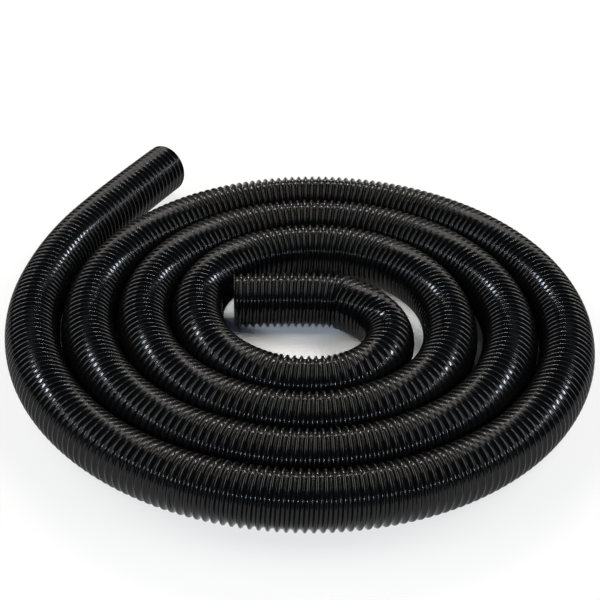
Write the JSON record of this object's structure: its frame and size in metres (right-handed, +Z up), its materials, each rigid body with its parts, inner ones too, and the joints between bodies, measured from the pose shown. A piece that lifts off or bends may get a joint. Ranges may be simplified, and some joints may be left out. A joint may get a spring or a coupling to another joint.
{
  "type": "vacuum hose",
  "caption": "Ribbed flexible vacuum hose, bare at both ends, coiled flat in a round spiral with its outer end left free.",
  "frame": {"origin": "on the floor, under the middle of the hose's outline", "axes": "+Z up, +Y from the middle of the coil towards the side where the free end lies, +X to the right"},
  "size_m": [0.5196, 0.5524, 0.048],
  "materials": {
    "cover": "glossy black ribbed plastic",
    "liner": "smooth dark plastic",
    "wire": "drawn spring steel wire"
  },
  "bodies": {
    "root": {"cover_inner_end": "cover", "liner_inner_end": "liner", "wire_inner_end": "wire", "cover_coil": "cover", "liner_coil": "liner", "wire_coil": "wire", "cover_free_end": "cover", "liner_free_end": "liner", "wire_free_end": "wire"}
  },
  "joints": []
}
